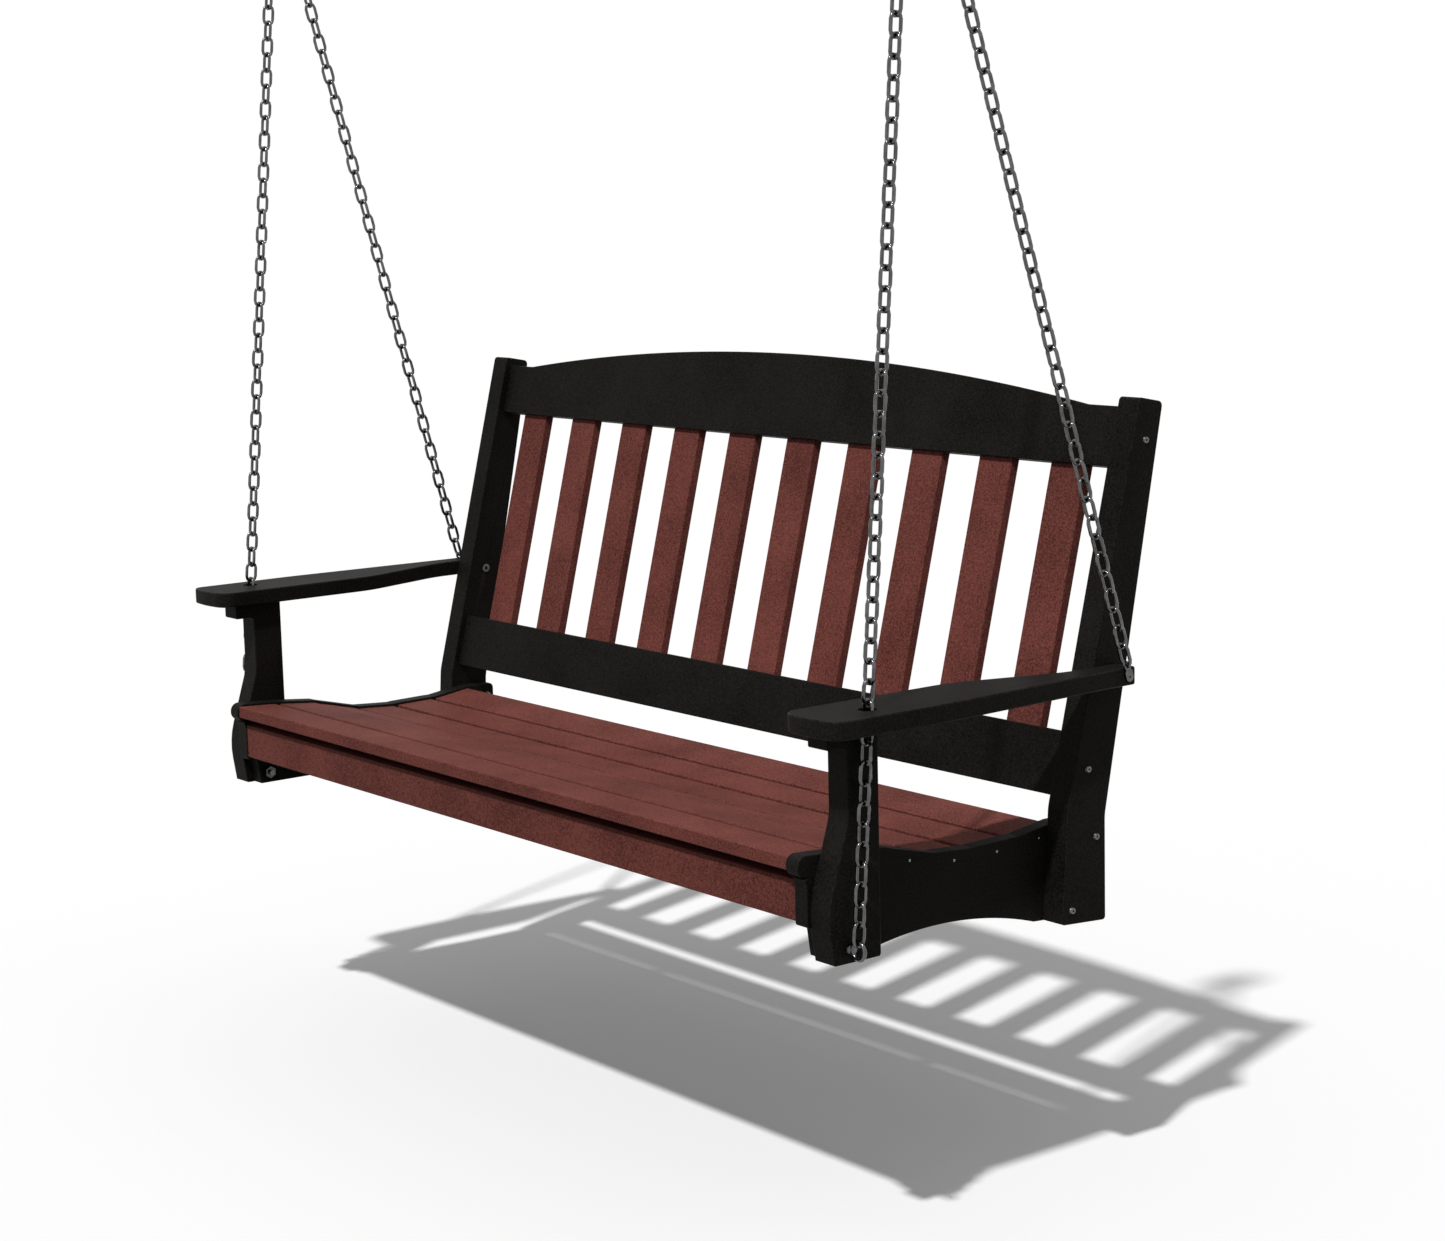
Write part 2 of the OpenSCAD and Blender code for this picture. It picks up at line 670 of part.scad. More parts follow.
module seat_support() {
    under = [for (i = [0:last_slat], side = [-1, 1]) slat_point(i, side * slat_w / 2, -slat_t)];
    rear = stretcher_y - 2;
    color(black_board) difference() {
        side_board((support_spacing - support_t) / 2, support_t, concat(
            [[support_y, support_z], [support_y, front_stretcher_top]],
            [for (k = [1:len(under) - 2]) if (under[k][0] > support_y + 1) under[k]],
            [[rear, under_z(last_slat, rear)], [stretcher_y, stretcher_top], [stretcher_y, support_z]]
        ));
        support_front() screw_hole(support_t);
        support_rear() screw_hole(support_t);
    }
}

module rear_stretcher() {
    color(black_board) difference() {
        translate([0, stretcher_y + support_t / 2, stretcher_top - stretcher_h / 2])
            cross_board(2 * rail_x, support_t, stretcher_h);
        rail_screw_holes(rear_screws);
        both_supports() support_rear() screw_hole(support_t);
    }
}

// Frame of the leaning back: Y is depth behind the posts' front edges, Z is up the lean
module on_back() { translate([0, knee[0], knee[1]]) rotate([-back_lean, 0, 0]) children(); }

function back_slat_x(i) = -inner_x + back_end_gap + back_slat_w / 2 + (i - 1) * back_slat_pitch;

// All the back slats' tenons, larger by the play
module mortises() {
    for (i = [1:back_slats])
        translate([back_slat_x(i) - back_slat_w / 2 - play, back_rail_inset + back_slat_inset - play,
            slat_start - tenon_l - play])
            cube([back_slat_w + 2 * play, back_slat_t + 2 * play, back_clear_l + 2 * tenon_l + 2 * play]);
}
module rail_end_holes(p) {
    for (side = [0, 1]) mirror([side, 0, 0])
        along_x(p, bolt_d + 2 * play, inner_x - rail_grip - play, inner_x + 1);
}

module back_bottom_rail() {
    color(black_board) difference() {
        on_back() difference() {
            translate([0, rail_mid_depth, bottom_rail_mid]) cross_board(inside_w, back_rail_t, bottom_rail_h);
            mortises();
        }
        rail_end_holes(upper_bolts[1]);
    }
}

module back_top_rail() {
    end_z = top_rail_start + top_rail_h;
    arch_x = inner_x - shoulder_l;
    outline = concat(
        [[inner_x, end_z], [inner_x, top_rail_start], [-inner_x, top_rail_start], [-inner_x, end_z]],
        bow([-arch_x, end_z], [arch_x, end_z], crown_h, 48)
    );
    color(black_board) difference() {
        on_back() difference() {
            translate([0, back_rail_inset + back_rail_t, 0]) rotate([90, 0, 0]) linear_extrude(back_rail_t)
                polygon(outline);
            mortises();
        }
        rail_end_holes(upper_bolts[0]);
    }
}

module back_slat(i) {
    length = back_clear_l + 2 * tenon_l;
    color(red_board) on_back()
        translate([back_slat_x(i), back_rail_inset + back_slat_inset + back_slat_t / 2, slat_start - tenon_l])
            linear_extrude(length) eased(back_slat_w, back_slat_t, back_slat_ease);
}

module rail_screws() {
    color(steel) for (p = rail_screws_at) inward(inner_x, p) wood_screw(side_rail_t);
}
module post_screws() {
    color(steel) for (p = post_screws_at) outward(rail_x, p) wood_screw(side_rail_t);
}
module arm_screw() {
    color(steel) arm_screw_spot() wood_screw(post_lug_h, arm_screw_grip);
}
module support_screws() {
    color(steel) both_supports() {
        support_front() wood_screw(support_t);
        support_rear() wood_screw(support_t);
    }
}

module frame_bolts() {
    color(steel) {
        for (p = upper_bolts) inward(outer_x, p) frame_bolt(post_t + rail_grip, bolt_head_d);
        for (p = lower_bolts)
            inward(outer_x, p) frame_bolt(post_t + side_rail_t + cap_nut_h / 2, bolt_head_d);
    }
}
// Hexagon nut with a dome over the bolt's end
module cap_nut() {
    hex_h = cap_nut_h * 0.6;
    dome_d = cap_nut_d * 0.8;
    difference() {
        union() {
            cylinder(h = hex_h, d = cap_nut_d, $fn = 6);
            translate([0, 0, hex_h]) intersection() {
                sphere(d = dome_d);
                cylinder(h = cap_nut_h - hex_h, d = dome_d);
            }
        }
        translate([0, 0, -1]) cylinder(h = 1 + cap_nut_h / 2 + play, d = bolt_d + 2 * play);
    }
}
module cap_nuts() {
    color(steel) for (p = lower_bolts) inward(rail_x, p) cap_nut();
}

// The arm bolt runs through strap, arm and back post into the sleeve nut
module arm_bolt_piece() {
    color(steel) inward(strap_x + strap_t, arm_bolt) flush_bolt(strap_t + arm_tail_w + post_t - bolt_head_h);
}
module sleeve_nut() {
    rim_t = 2;
    color(steel) outward(inner_x, arm_bolt) difference() {
        union() {
            translate([0, 0, -rim_t]) cylinder(h = rim_t, d = sleeve_rim_d);
            cylinder(h = sleeve_l, d = sleeve_d);
        }
        translate([0, 0, -rim_t - 1]) cylinder(h = sleeve_l + rim_t + 2, d = bolt_d + 2 * play);
    }
}

module strap() {
    eye_out_d = strap_eye_d + 2 * strap_web;
    neck_w = 0.7 * strap_w;
    shoulder = strap_l / 2;
    color(steel) difference() {
        translate([strap_x, arm_bolt[0], arm_bolt[1]]) rotate([strap_angle, 0, 0])
            rotate([90, 0, 90]) linear_extrude(strap_t) difference() {
                union() {
                    circle(d = strap_w);
                    polygon([
                        [-strap_w / 2, 0], [strap_w / 2, 0], [strap_w / 2, shoulder],
                        [neck_w / 2, shoulder + 1.5], [neck_w / 2, strap_l],
                        [-neck_w / 2, strap_l], [-neck_w / 2, shoulder + 1.5], [-strap_w / 2, shoulder]
                    ]);
                    translate([0, strap_l]) circle(d = eye_out_d);
                }
                translate([0, strap_l]) circle(d = strap_eye_d);
            }
        inward(strap_x + strap_t, arm_bolt) {
            translate([0, 0, -1]) cylinder(h = 1, d = arm_bolt_head_d + 2 * play);
            flush_head(play);
            cylinder(h = strap_t + 1, d = bolt_d + 2 * play);
        }
    }
}

module eyebolt() {
    shank_l = eye_stand + post_t + side_rail_t + eye_nut_h + eye_thread_end - eye_r;
    color(steel) {
        translate(eye_at) rotate([90, 0, 0]) wire_ring(eye_r, eye_wire);
        translate([outer_x, eye_at[1], eye_at[2]]) rotate([0, 90, 0]) cylinder(h = collar_t, d = collar_d);
        inward(eye_at[0] - eye_r, [eye_at[1], eye_at[2]]) cylinder(h = shank_l, d = eye_shank_d);
    }
}
module eye_nut() {
    color(steel) inward(rail_x, [eye_at[1], eye_at[2]]) hex_nut(eye_nut_d, eye_nut_h, eye_shank_d + 2 * play);
}

// One link along Z in the XZ plane. Its legs are whole thousandths long, so that
// they meet the round ends exactly.
module link(inner_l) {
    bend_r = (link_w + chain_wire) / 2;
    half_leg = round(500 * (inner_l - link_w)) / 1000;
    for (end = [0, 1]) mirror([0, 0, end]) translate([0, 0, half_leg]) rotate([90, 0, 0])
        wire_ring(bend_r, chain_wire, 180);
    for (side = [-1, 1]) translate([side * bend_r, 0, -half_leg]) cylinder(h = 2 * half_leg, d = chain_wire);
}
// Straight chain from bar a up to bar b, the points being the bars' middles.
// The count is chosen for the nominal pitch, even or odd, and the pitch then
// closes the length exactly. turn is the first link's turn about the chain.
module chain(a, b, bar_a, bar_b, odd, turn) {
    way = b - a;
    total = norm(way) + (bar_a + bar_b) / 2;
    count = 2 * round((total / link_pitch - odd) / 2) + odd;
    pitch = total / count;
    translate(a) rotate([-asin(way[1] / norm(way)), atan2(way[0], way[2]), 0])
        for (i = [0:count - 1])
            translate([0, 0, (i + 0.5) * pitch - bar_a / 2]) rotate([0, 0, turn + 90 * (i % 2)])
                link(pitch + link_play);
}
module chain_front() {
    color(steel) chain(eye_bar, front_hang, eye_wire, ring_wire, 0, 90);
}
module chain_rear() {
    color(steel) chain(strap_bar, rear_hang, strap_web + web_room, ring_wire, 1, 0);
}

module ring() {
    color(steel) translate(ring_at) rotate([0, 90, 0]) wire_ring(ring_r, ring_wire);
}

// Ceiling plate with a welded loop. The ring swings on the straight wire at the
// bottom of the loop.
module hanger() {
    plate_z = ring_h + loop_up + hanger_drop;
    leg = hanger_drop - hanger_bend_r;
    straight = 2 * (loop_half_w - hanger_bend_r);
    color(steel) translate([ring_x, ring_back, plate_z]) {
        difference() {
            translate([-plate_w / 2, -plate_l / 2, 0]) cube([plate_w, plate_l, plate_t]);
            for (y = [-1, 1]) translate([0, y * plate_hole_spacing / 2, -1])
                cylinder(h = plate_t + 2, d = plate_hole_d);
        }
        for (side = [0, 1]) mirror([side, 0, 0]) {
            translate([loop_half_w, 0, -leg]) cylinder(h = leg, d = hanger_wire);
            translate([straight / 2, 0, -leg]) rotate([-90, 0, 0]) wire_ring(hanger_bend_r, hanger_wire, 90);
        }
        translate([-straight / 2, 0, -hanger_drop]) rotate([0, 90, 0]) cylinder(h = straight, d = hanger_wire);
    }
}

left() arm();  // arm_left
right() arm();  // arm_right
left() front_post();  // front_post_left
right() front_post();  // front_post_right
left() back_post();  // back_post_left
right() back_post();  // back_post_right
left() seat_rail();  // seat_rail_left
right() seat_rail();  // seat_rail_right
for (i = [0:last_slat])
    place() seat_slat(i);
place() front_apron();
place() front_stretcher();
left() seat_support();  // seat_support_left
right() seat_support();  // seat_support_right
place() rear_stretcher();
place() back_top_rail();
place() back_bottom_rail();
for (i = [1:back_slats])
    place() back_slat(i);
left() rail_screws();  // rail_screws_left
right() rail_screws();  // rail_screws_right
left() post_screws();  // post_screws_left
right() post_screws();  // post_screws_right
left() arm_screw();  // arm_screw_left
right() arm_screw();  // arm_screw_right
place() support_screws();
left() frame_bolts();  // frame_bolts_left
right() frame_bolts();  // frame_bolts_right
left() cap_nuts();  // cap_nuts_left
right() cap_nuts();  // cap_nuts_right
left() arm_bolt_piece();  // arm_bolt_left
right() arm_bolt_piece();  // arm_bolt_right
left() sleeve_nut();  // sleeve_nut_left
right() sleeve_nut();  // sleeve_nut_right
left() strap();  // strap_left
right() strap();  // strap_right
left() eyebolt();  // eyebolt_left
right() eyebolt();  // eyebolt_right
left() eye_nut();  // eye_nut_left
right() eye_nut();  // eye_nut_right
left() chain_front();  // chain_front_left
right() chain_front();  // chain_front_right
left() chain_rear();  // chain_rear_left
right() chain_rear();  // chain_rear_right
left() ring();  // ring_left
right() ring();  // ring_right
left() hanger();  // hanger_left
right() hanger();  // hanger_right
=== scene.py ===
"""Looks of the porch swing seat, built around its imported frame.

Lengths are metres in the frame's axes: +X to the right seen from the front,
the seat faces -Y, +Z up, and the origin on the ceiling between the hangers.
"""
import json
import math

import bmesh
import bpy
import numpy as np
from mathutils import Matrix, Vector
from mathutils.geometry import tessellate_polygon


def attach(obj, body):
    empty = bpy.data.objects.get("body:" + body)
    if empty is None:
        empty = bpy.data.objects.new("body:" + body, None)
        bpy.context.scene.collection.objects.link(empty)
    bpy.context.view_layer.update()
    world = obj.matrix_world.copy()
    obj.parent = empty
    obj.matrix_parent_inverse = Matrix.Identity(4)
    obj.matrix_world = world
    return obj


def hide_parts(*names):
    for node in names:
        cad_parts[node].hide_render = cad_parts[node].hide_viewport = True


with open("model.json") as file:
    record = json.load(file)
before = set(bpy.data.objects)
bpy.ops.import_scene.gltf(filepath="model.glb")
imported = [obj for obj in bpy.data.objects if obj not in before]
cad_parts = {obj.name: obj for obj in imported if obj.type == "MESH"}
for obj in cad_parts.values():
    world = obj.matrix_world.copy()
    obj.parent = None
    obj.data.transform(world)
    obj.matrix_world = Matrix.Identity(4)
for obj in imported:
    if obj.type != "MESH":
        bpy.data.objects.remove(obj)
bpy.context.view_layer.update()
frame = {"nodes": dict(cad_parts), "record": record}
body_of = {
    node: body
    for body, nodes in frame["record"]["behaviour"]["bodies"].items()
    for node in nodes
}


# ---------------------------------------------------------------- finishes

class Signal:
    """A socket in a node tree. Arithmetic on it adds Math nodes."""

    def __init__(self, nodes, socket):
        self.nodes = nodes
        self.socket = socket

    def math(self, operation, first, second=0.0):
        return self.nodes.add("ShaderNodeMath", {"operation": operation}, {0: first, 1: second})

    def __add__(self, other):
        return self.math("ADD", self, other)

    def __sub__(self, other):
        return self.math("SUBTRACT", self, other)

    def __mul__(self, other):
        return self.math("MULTIPLY", self, other)

    __radd__ = __add__


class Nodes:
    """A node tree that is written as expressions."""

    def __init__(self, tree):
        self.tree = tree
        tree.nodes.clear()

    def add(self, kind, settings, inputs, out=0):
        """One node: its settings first, then its sockets' values or links. Gives one output."""
        node = self.tree.nodes.new(kind)
        for name, value in settings.items():
            setattr(node, name, value)
        for key, value in inputs.items():
            if isinstance(value, Signal):
                self.tree.links.new(value.socket, node.inputs[key])
            else:
                node.inputs[key].default_value = value
        return Signal(self, node.outputs[out])

    def place(self):
        """The point's place on the object."""
        return self.add("ShaderNodeTexCoord", {}, {}, "Object")

    def noise(self, per_metre, detail=2.0, rough=0.5):
        """Soft noise between 0 and 1, about 0.5, with so many features a metre."""
        return self.add(
            "ShaderNodeTexNoise",
            {},
            {"Vector": self.place(), "Scale": per_metre, "Detail": detail, "Roughness": rough},
        )

    def attribute(self, name):
        """The mesh's own value of that name, 0 where it has none."""
        return self.add("ShaderNodeAttribute", {"attribute_name": name}, {}, "Fac")

    def sharpen(self, value, low, high):
        """Value stretched so that low becomes 0 and high 1."""
        return self.add(
            "ShaderNodeMapRange", {}, {"Value": value, "From Min": low, "From Max": high}
        )

    def blend(self, factor, first, second):
        """Colour between first and second."""
        return self.add(
            "ShaderNodeMix", {"data_type": "RGBA"}, {0: factor, 6: first, 7: second}, 2
        )

    def bump(self, height, depth, strength=1.0):
        """Surface relief of so many metres."""
        return self.add(
            "ShaderNodeBump", {}, {"Height": height, "Distance": depth, "Strength": strength}
        )


def finish(name, constants, varying):
    """A material: one Principled shader with constant sockets, and varying(nodes) for the rest."""
    material = bpy.data.materials.new(name)
    material.use_nodes = True
    nodes = Nodes(material.node_tree)
    fed = varying(nodes)
    surface = nodes.add("ShaderNodeBsdfPrincipled", {}, {**constants, **fed})
    output = nodes.tree.nodes.new("ShaderNodeOutputMaterial")
    nodes.tree.links.new(surface.socket, output.inputs["Surface"])
    return material


def grey(level):
    """A neutral colour."""
    return (level, level, level, 1.0)


# Plastic lumber: features a metre of its grain, and its relief
MOTTLE = 360
PEBBLE = 800
TONE = 9
GRAIN_DEPTH = 0.0006
# The mottle's share in the grain, the tone's in the colour, and the mottle's in the gloss
MOTTLE_SHARE = 0.6
TONE_SHARE = 0.25
GLOSS_SHARE = 0.25
# Levels of the mixed grain that show the darkest and the lightest colour
GRAIN_DARK = 0.51
GRAIN_LIGHT = 0.74
# Eased edges carry a painted highlight, paler and smoother along their rounding: how much
# paler and how much smoother, and the highlight's colour as a multiple of the light one plus a
# haze
SHEEN_PALER = 0.15
EDGE_SMOOTHER = 0.3
SHEEN_GAIN = 2.2
SHEEN_HAZE = 0.012


def board_finish(name, dark, light, gloss, specular):
    """Plastic lumber: a pebbled mottle of 1 to 3 mm with slow changes of tone, and a painted
    highlight along its eased edges."""

    def varying(nodes):
        mottle = nodes.noise(MOTTLE, detail=2.0, rough=0.6)
        pebble = nodes.noise(PEBBLE, detail=1.0)
        tone = nodes.noise(TONE, detail=3.0)
        grain = mottle * MOTTLE_SHARE + pebble * (1 - MOTTLE_SHARE)
        shade = nodes.sharpen(grain + tone * TONE_SHARE, GRAIN_DARK, GRAIN_LIGHT)
        edge_sheen = nodes.attribute("edge_sheen")
        sheen_colour = [SHEEN_GAIN * level + SHEEN_HAZE for level in light[:3]] + [1]
        return {
            # Paler along eased edges: a painted highlight, broken up by the mottle
            "Base Color": nodes.blend(
                edge_sheen * nodes.sharpen(mottle, low=0.3, high=0.6) * SHEEN_PALER,
                nodes.blend(shade, dark, light),
                sheen_colour,
            ),
            "Roughness": gloss + mottle * GLOSS_SHARE - edge_sheen * EDGE_SMOOTHER,
            "Normal": nodes.bump(grain, GRAIN_DEPTH, strength=0.6),
        }

    return finish(name, {"Specular IOR Level": specular}, varying)


BLACK = board_finish(
    "black_lumber",
    dark=(0.0020, 0.0018, 0.0015, 1),
    light=(0.0165, 0.0152, 0.0132, 1),
    gloss=0.45,
    specular=0.035,
)
RED = board_finish(
    "red_lumber",
    dark=(0.074, 0.0220, 0.0180, 1),
    light=(0.230, 0.0700, 0.0560, 1),
    gloss=0.55,
    specular=0.05,
)

# Steel: clouds a metre of its skin, their relief and their share in the gloss, and the
# radii between which a painted glint round a screw's axis fades into its dark coating
CLOUD = 90
CLOUD_DEPTH = 0.0003
CLOUD_SHARE = 0.12
GLINT_FADES_AT = 0.0020
GLINT_FULL_AT = 0.0012


def steel_finish(name, dark, light, gloss, painted_glint=None):
    """Drawn steel with a softly clouded skin. With a glint brightness given, a painted glint of
    that brightness lies round the screw's axis, from which the radius attribute is measured."""

    def varying(nodes):
        cloud = nodes.noise(CLOUD, detail=2.0)
        skin = nodes.blend(nodes.sharpen(cloud, low=0.35, high=0.65), grey(dark), grey(light))
        if painted_glint is not None:
            # A painted glint round the screw's axis, fading out into the dark coating
            glint = nodes.sharpen(nodes.attribute("radius"), GLINT_FADES_AT, GLINT_FULL_AT)
            skin = nodes.blend(glint, skin, grey(painted_glint))
        return {
            "Base Color": skin,
            "Roughness": gloss + cloud * CLOUD_SHARE,
            "Normal": nodes.bump(cloud, CLOUD_DEPTH, strength=0.3),
        }

    return finish(name, {"Metallic": 1.0}, varying)


CHAIN_STEEL = steel_finish("chain_steel", dark=0.085, light=0.125, gloss=0.12)
FITTING_STEEL = steel_finish("fitting_steel", dark=0.085, light=0.130, gloss=0.12)
NUT_STEEL = steel_finish("nut_steel", dark=0.050, light=0.085, gloss=0.14)
BOLT_STEEL = steel_finish("bolt_steel", dark=0.115, light=0.160, gloss=0.30)
# Dark-coated screws with a painted glint round their axes
SCREW_STEEL = steel_finish(
    "coated_screw", dark=0.006, light=0.010, gloss=0.35, painted_glint=0.5
)


# ---------------------------------------------------------------- pieces

MERGE = 2e-6             # Points of loose CAD triangles nearer than this are one
FLAT = 0.3               # Degrees that CAD triangles of one flat face may differ by
CREASE = 35              # Degrees from which an edge shows as a crease
FLAT_WEIGHT = 80         # How strongly wide faces set the shading beside them


def new_piece(name, mesh, material, slot, body, *nodes):
    """A finished piece that stands for CAD nodes and rides on their body."""
    piece = bpy.data.objects.new(name, mesh)
    bpy.context.scene.collection.objects.link(piece)
    mesh.materials.clear()
    mesh.materials.append(material)
    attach(piece, body)
    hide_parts(*nodes)
    return piece


def merged(node):
    """The CAD node's mesh with its loose triangles joined and its flat faces whole."""
    shape = bmesh.new()
    shape.from_mesh(frame["nodes"][node].data)
    bmesh.ops.remove_doubles(shape, verts=shape.verts, dist=MERGE)
    bmesh.ops.dissolve_limit(
        shape, angle_limit=math.radians(FLAT), verts=shape.verts, edges=shape.edges
    )
    return shape


def weighted(piece):
    """Shading normals that keep wide flat faces flat beside their rounded edges."""
    normals = piece.modifiers.new("flat_faces", "WEIGHTED_NORMAL")
    normals.mode = "FACE_AREA"
    normals.keep_sharp = True
    normals.weight = FLAT_WEIGHT


def smooth_piece(node, shape, material, slot):
    """The shape as a smooth-shaded piece for the node, with creases where faces turn by
    more than CREASE."""
    mesh = bpy.data.meshes.new(node)
    shape.to_mesh(mesh)
    shape.free()
    mesh.shade_smooth()
    mesh.set_sharp_from_angle(angle=math.radians(CREASE))
    piece = new_piece(node + "_piece", mesh, material, slot, body_of[node], node)
    weighted(piece)
    return piece


def smooth_copy(node, material, slot):
    """The node as a smooth-shaded piece."""
    return smooth_piece(node, merged(node), material, slot)


def shells(mesh):
    """For each vertex the lowest vertex number in its shell: every edge passes the lower
    of its two numbers on until none changes."""
    ends = np.empty(2 * len(mesh.edges), int)
    mesh.edges.foreach_get("vertices", ends)
    ends = ends.reshape(-1, 2)
    label = np.arange(len(mesh.vertices))
    while True:
        lower = label[ends].min(axis=1)
        spread = label.copy()
        np.minimum.at(spread, ends[:, 0], lower)
        np.minimum.at(spread, ends[:, 1], lower)
        if (spread == label).all():
            return label
        label = spread


def from_shell_middles(mesh):
    """Each vertex as counted from the middle of its shell's box, and the middles of all
    the shells."""
    points = np.empty(3 * len(mesh.vertices))
    mesh.vertices.foreach_get("co", points)
    points = points.reshape(-1, 3)
    names, shell = np.unique(shells(mesh), return_inverse=True)
    low = np.full((len(names), 3), np.inf)
    high = -low
    np.minimum.at(low, shell, points)
    np.maximum.at(high, shell, points)
    middles = (low + high) / 2
    return points - middles[shell], middles


def screw_piece(node, material, axis):
    """The node's screws, with each point's distance from its own screw's axis as radius.
    Axis is 0 for screws along X, 1 along Y and 2 along Z."""
    mesh = smooth_copy(node, material, "steel").data
    offsets, _ = from_shell_middles(mesh)
    radius = np.linalg.norm(np.delete(offsets, axis, axis=1), axis=1)
    mesh.attributes.new("radius", "FLOAT", "POINT").data.foreach_set("value", radius)


def rims_of(shape, wide):
    """The closed rims of a wide face, each a list of vertices in walking order with the
    face on the left seen from outside."""
    following = {}
    in_order = [face for face in shape.faces if face in wide]      # The same each run
    for face in in_order:
        for corner in face.loops:
            if any(other.face not in wide for other in corner.edge.link_loops if other != corner):
                following[corner.vert] = corner.link_loop_next.vert
    rims = []
    while following:
        start, at = following.popitem()
        rim = [start]
        while at != start:
            rim.append(at)
            at = following.pop(at)
        rims.append(rim)
    return rims


NEARLY_PARALLEL = 0.05   # Sine of the angle between two such lines
FAR_OFF = 0.004
LEAST_SHARE = 0.3        # Keeps a needle-sharp corner's inset short
BACK_PASSES = 4
BACKWARD = 1e-7          # An edge that keeps less length along its way runs backwards


def crossing(p, along_p, q, along_q, normal):
    """Where two lines in the plane of normal meet, or the middle of p and q if they are
    nearly parallel or meet far off."""
    turn = np.cross(along_p, along_q) @ normal
    middle = (p + q) / 2
    if abs(turn) < NEARLY_PARALLEL:
        return middle
    met = p + along_p * (np.cross(q - p, along_q) @ normal / turn)
    return met if np.linalg.norm(met - middle) < FAR_OFF else middle


def inset(points, ease, normal):
    """The rim moved inward by ease, within its wide face.

    A point moves by ease (m + n) / (1 + m.n), m and n being the inward directions of its
    two edges, so that both edges keep their distance. Where a corner is rounder than the
    ease, the moved rim would run backwards, and its points meet where the sides cross.
    """
    after = np.roll(points, -1, axis=0) - points
    along = after / np.linalg.norm(after, axis=1)[:, None]
    inward = np.cross(normal, along)
    before = np.roll(inward, 1, axis=0)
    share = np.maximum(1 + np.sum(before * inward, axis=1), LEAST_SHARE)
    moved = points + (before + inward) * (ease / share)[:, None]
    count = len(points)
    for _ in range(BACK_PASSES):
        back = np.sum((np.roll(moved, -1, axis=0) - moved) * along, axis=1) < BACKWARD
        if not back.any() or back.all():
            break
        first = np.flatnonzero(back & ~np.roll(back, 1))
        for i in first:
            run = 1
            while back[(i + run) % count]:
                run += 1
            j = (i + run) % count
            met = crossing(moved[i], along[i - 1], moved[j], along[j], normal)
            moved[(i + np.arange(run + 1)) % count] = met
    return moved


ROUND_STEPS = 4          # Strips across a rounded edge
OUTLINE_REACH = 0.04     # A rim that reaches less far is a bore's


def round_over(shape, rim, normal, ease, edge_sheen):
    """A quarter-round strip along a rim: its rows stand (1 - cos t) of the way to the inset
    rim and (1 - sin t) ease below the wide face, t running from 0 to 90 degrees, and carry
    a painted highlight of strength sin 2t. Gives the inset rim's vertices."""
    points = np.array([vertex.co for vertex in rim])
    inner = inset(points, ease, normal)
    turn = np.linspace(0, math.pi / 2, ROUND_STEPS + 1)[:, None, None]
    rows = points + (inner - points) * (1 - np.cos(turn))
    rows = rows - normal * ease[:, None] * (1 - np.sin(turn))
    for vertex, place in zip(rim, rows[0]):
        vertex.co = place
    lower = rim
    # Each row's strength of the painted edge highlight is sin 2t
    for row, sheen in zip(rows[1:], np.sin(2 * turn.ravel())[1:]):
        upper = [shape.verts.new(place) for place in row]
        for vertex in upper:
            vertex[edge_sheen] = sheen
        for i in range(len(rim)):
            shape.faces.new((lower[i - 1], lower[i], upper[i], upper[i - 1]))
        lower = upper
    return lower


ON_FACE = 1e-5           # Points this near a wide face's plane lie in it
SOLE_BAND = 0.002        # Height over the sole in which its easing grows to the full one


def eased_board(node, material, slot, across, ease=0.0017, sole_ease=None):
    """The node with the edges of its two wide faces rounded over. The board's thickness is
    along across. With sole_ease, the board's lowest edges are eased by that much only."""
    shape = merged(node)
    across = Vector(across)
    # How strongly each point shows the painted edge highlight, 0 off the rounded edges
    edge_sheen = shape.verts.layers.float.new("edge_sheen")
    sole_z = min(vertex.co.z for vertex in shape.verts)
    levels = [vertex.co @ across for vertex in shape.verts]
    for side, level in ((-1, min(levels)), (1, max(levels))):
        wide = {
            face for face in shape.faces
            if all(abs(vertex.co @ across - level) < ON_FACE for vertex in face.verts)
        }
        rims = rims_of(shape, wide)
        bmesh.ops.delete(shape, geom=list(wide), context="FACES")
        inner_rims = []
        for rim in rims:
            points = np.array([vertex.co for vertex in rim])
            if np.ptp(points, axis=0).max() > OUTLINE_REACH:
                widths = np.full(len(rim), ease)
                if sole_ease is not None:
                    widths = np.interp(points[:, 2] - sole_z, (0, SOLE_BAND), (sole_ease, ease))
                rim = round_over(shape, rim, side * np.array(across), widths, edge_sheen)
            inner_rims.append(rim)
        corners = [vertex for rim in inner_rims for vertex in rim]
        loops = [[vertex.co for vertex in rim] for rim in inner_rims]
        for triangle in tessellate_polygon(loops):
            shape.faces.new([corners[i] for i in triangle])
    bmesh.ops.remove_doubles(shape, verts=shape.verts, dist=MERGE / 2)
    bmesh.ops.recalc_face_normals(shape, faces=shape.faces)
    return smooth_piece(node, shape, material, slot)


SIDES = ("left", "right")
LEAN = math.radians(14.4)      # Of the back
BACK_NORMAL = (0.0, math.cos(LEAN), -math.sin(LEAN))
FITTINGS = {
    "frame_bolts_": BOLT_STEEL,
    "cap_nuts_": BOLT_STEEL,
    "arm_bolt_": FITTING_STEEL,
    "sleeve_nut_": NUT_STEEL,
    "strap_": FITTING_STEEL,
    "eyebolt_": FITTING_STEEL,
    "eye_nut_": NUT_STEEL,
    "ring_": FITTING_STEEL,
    "hanger_": FITTING_STEEL,
}
SCREWS = {"rail_screws_": 0, "post_screws_": 0, "arm_screw_": 2}     # With their axes

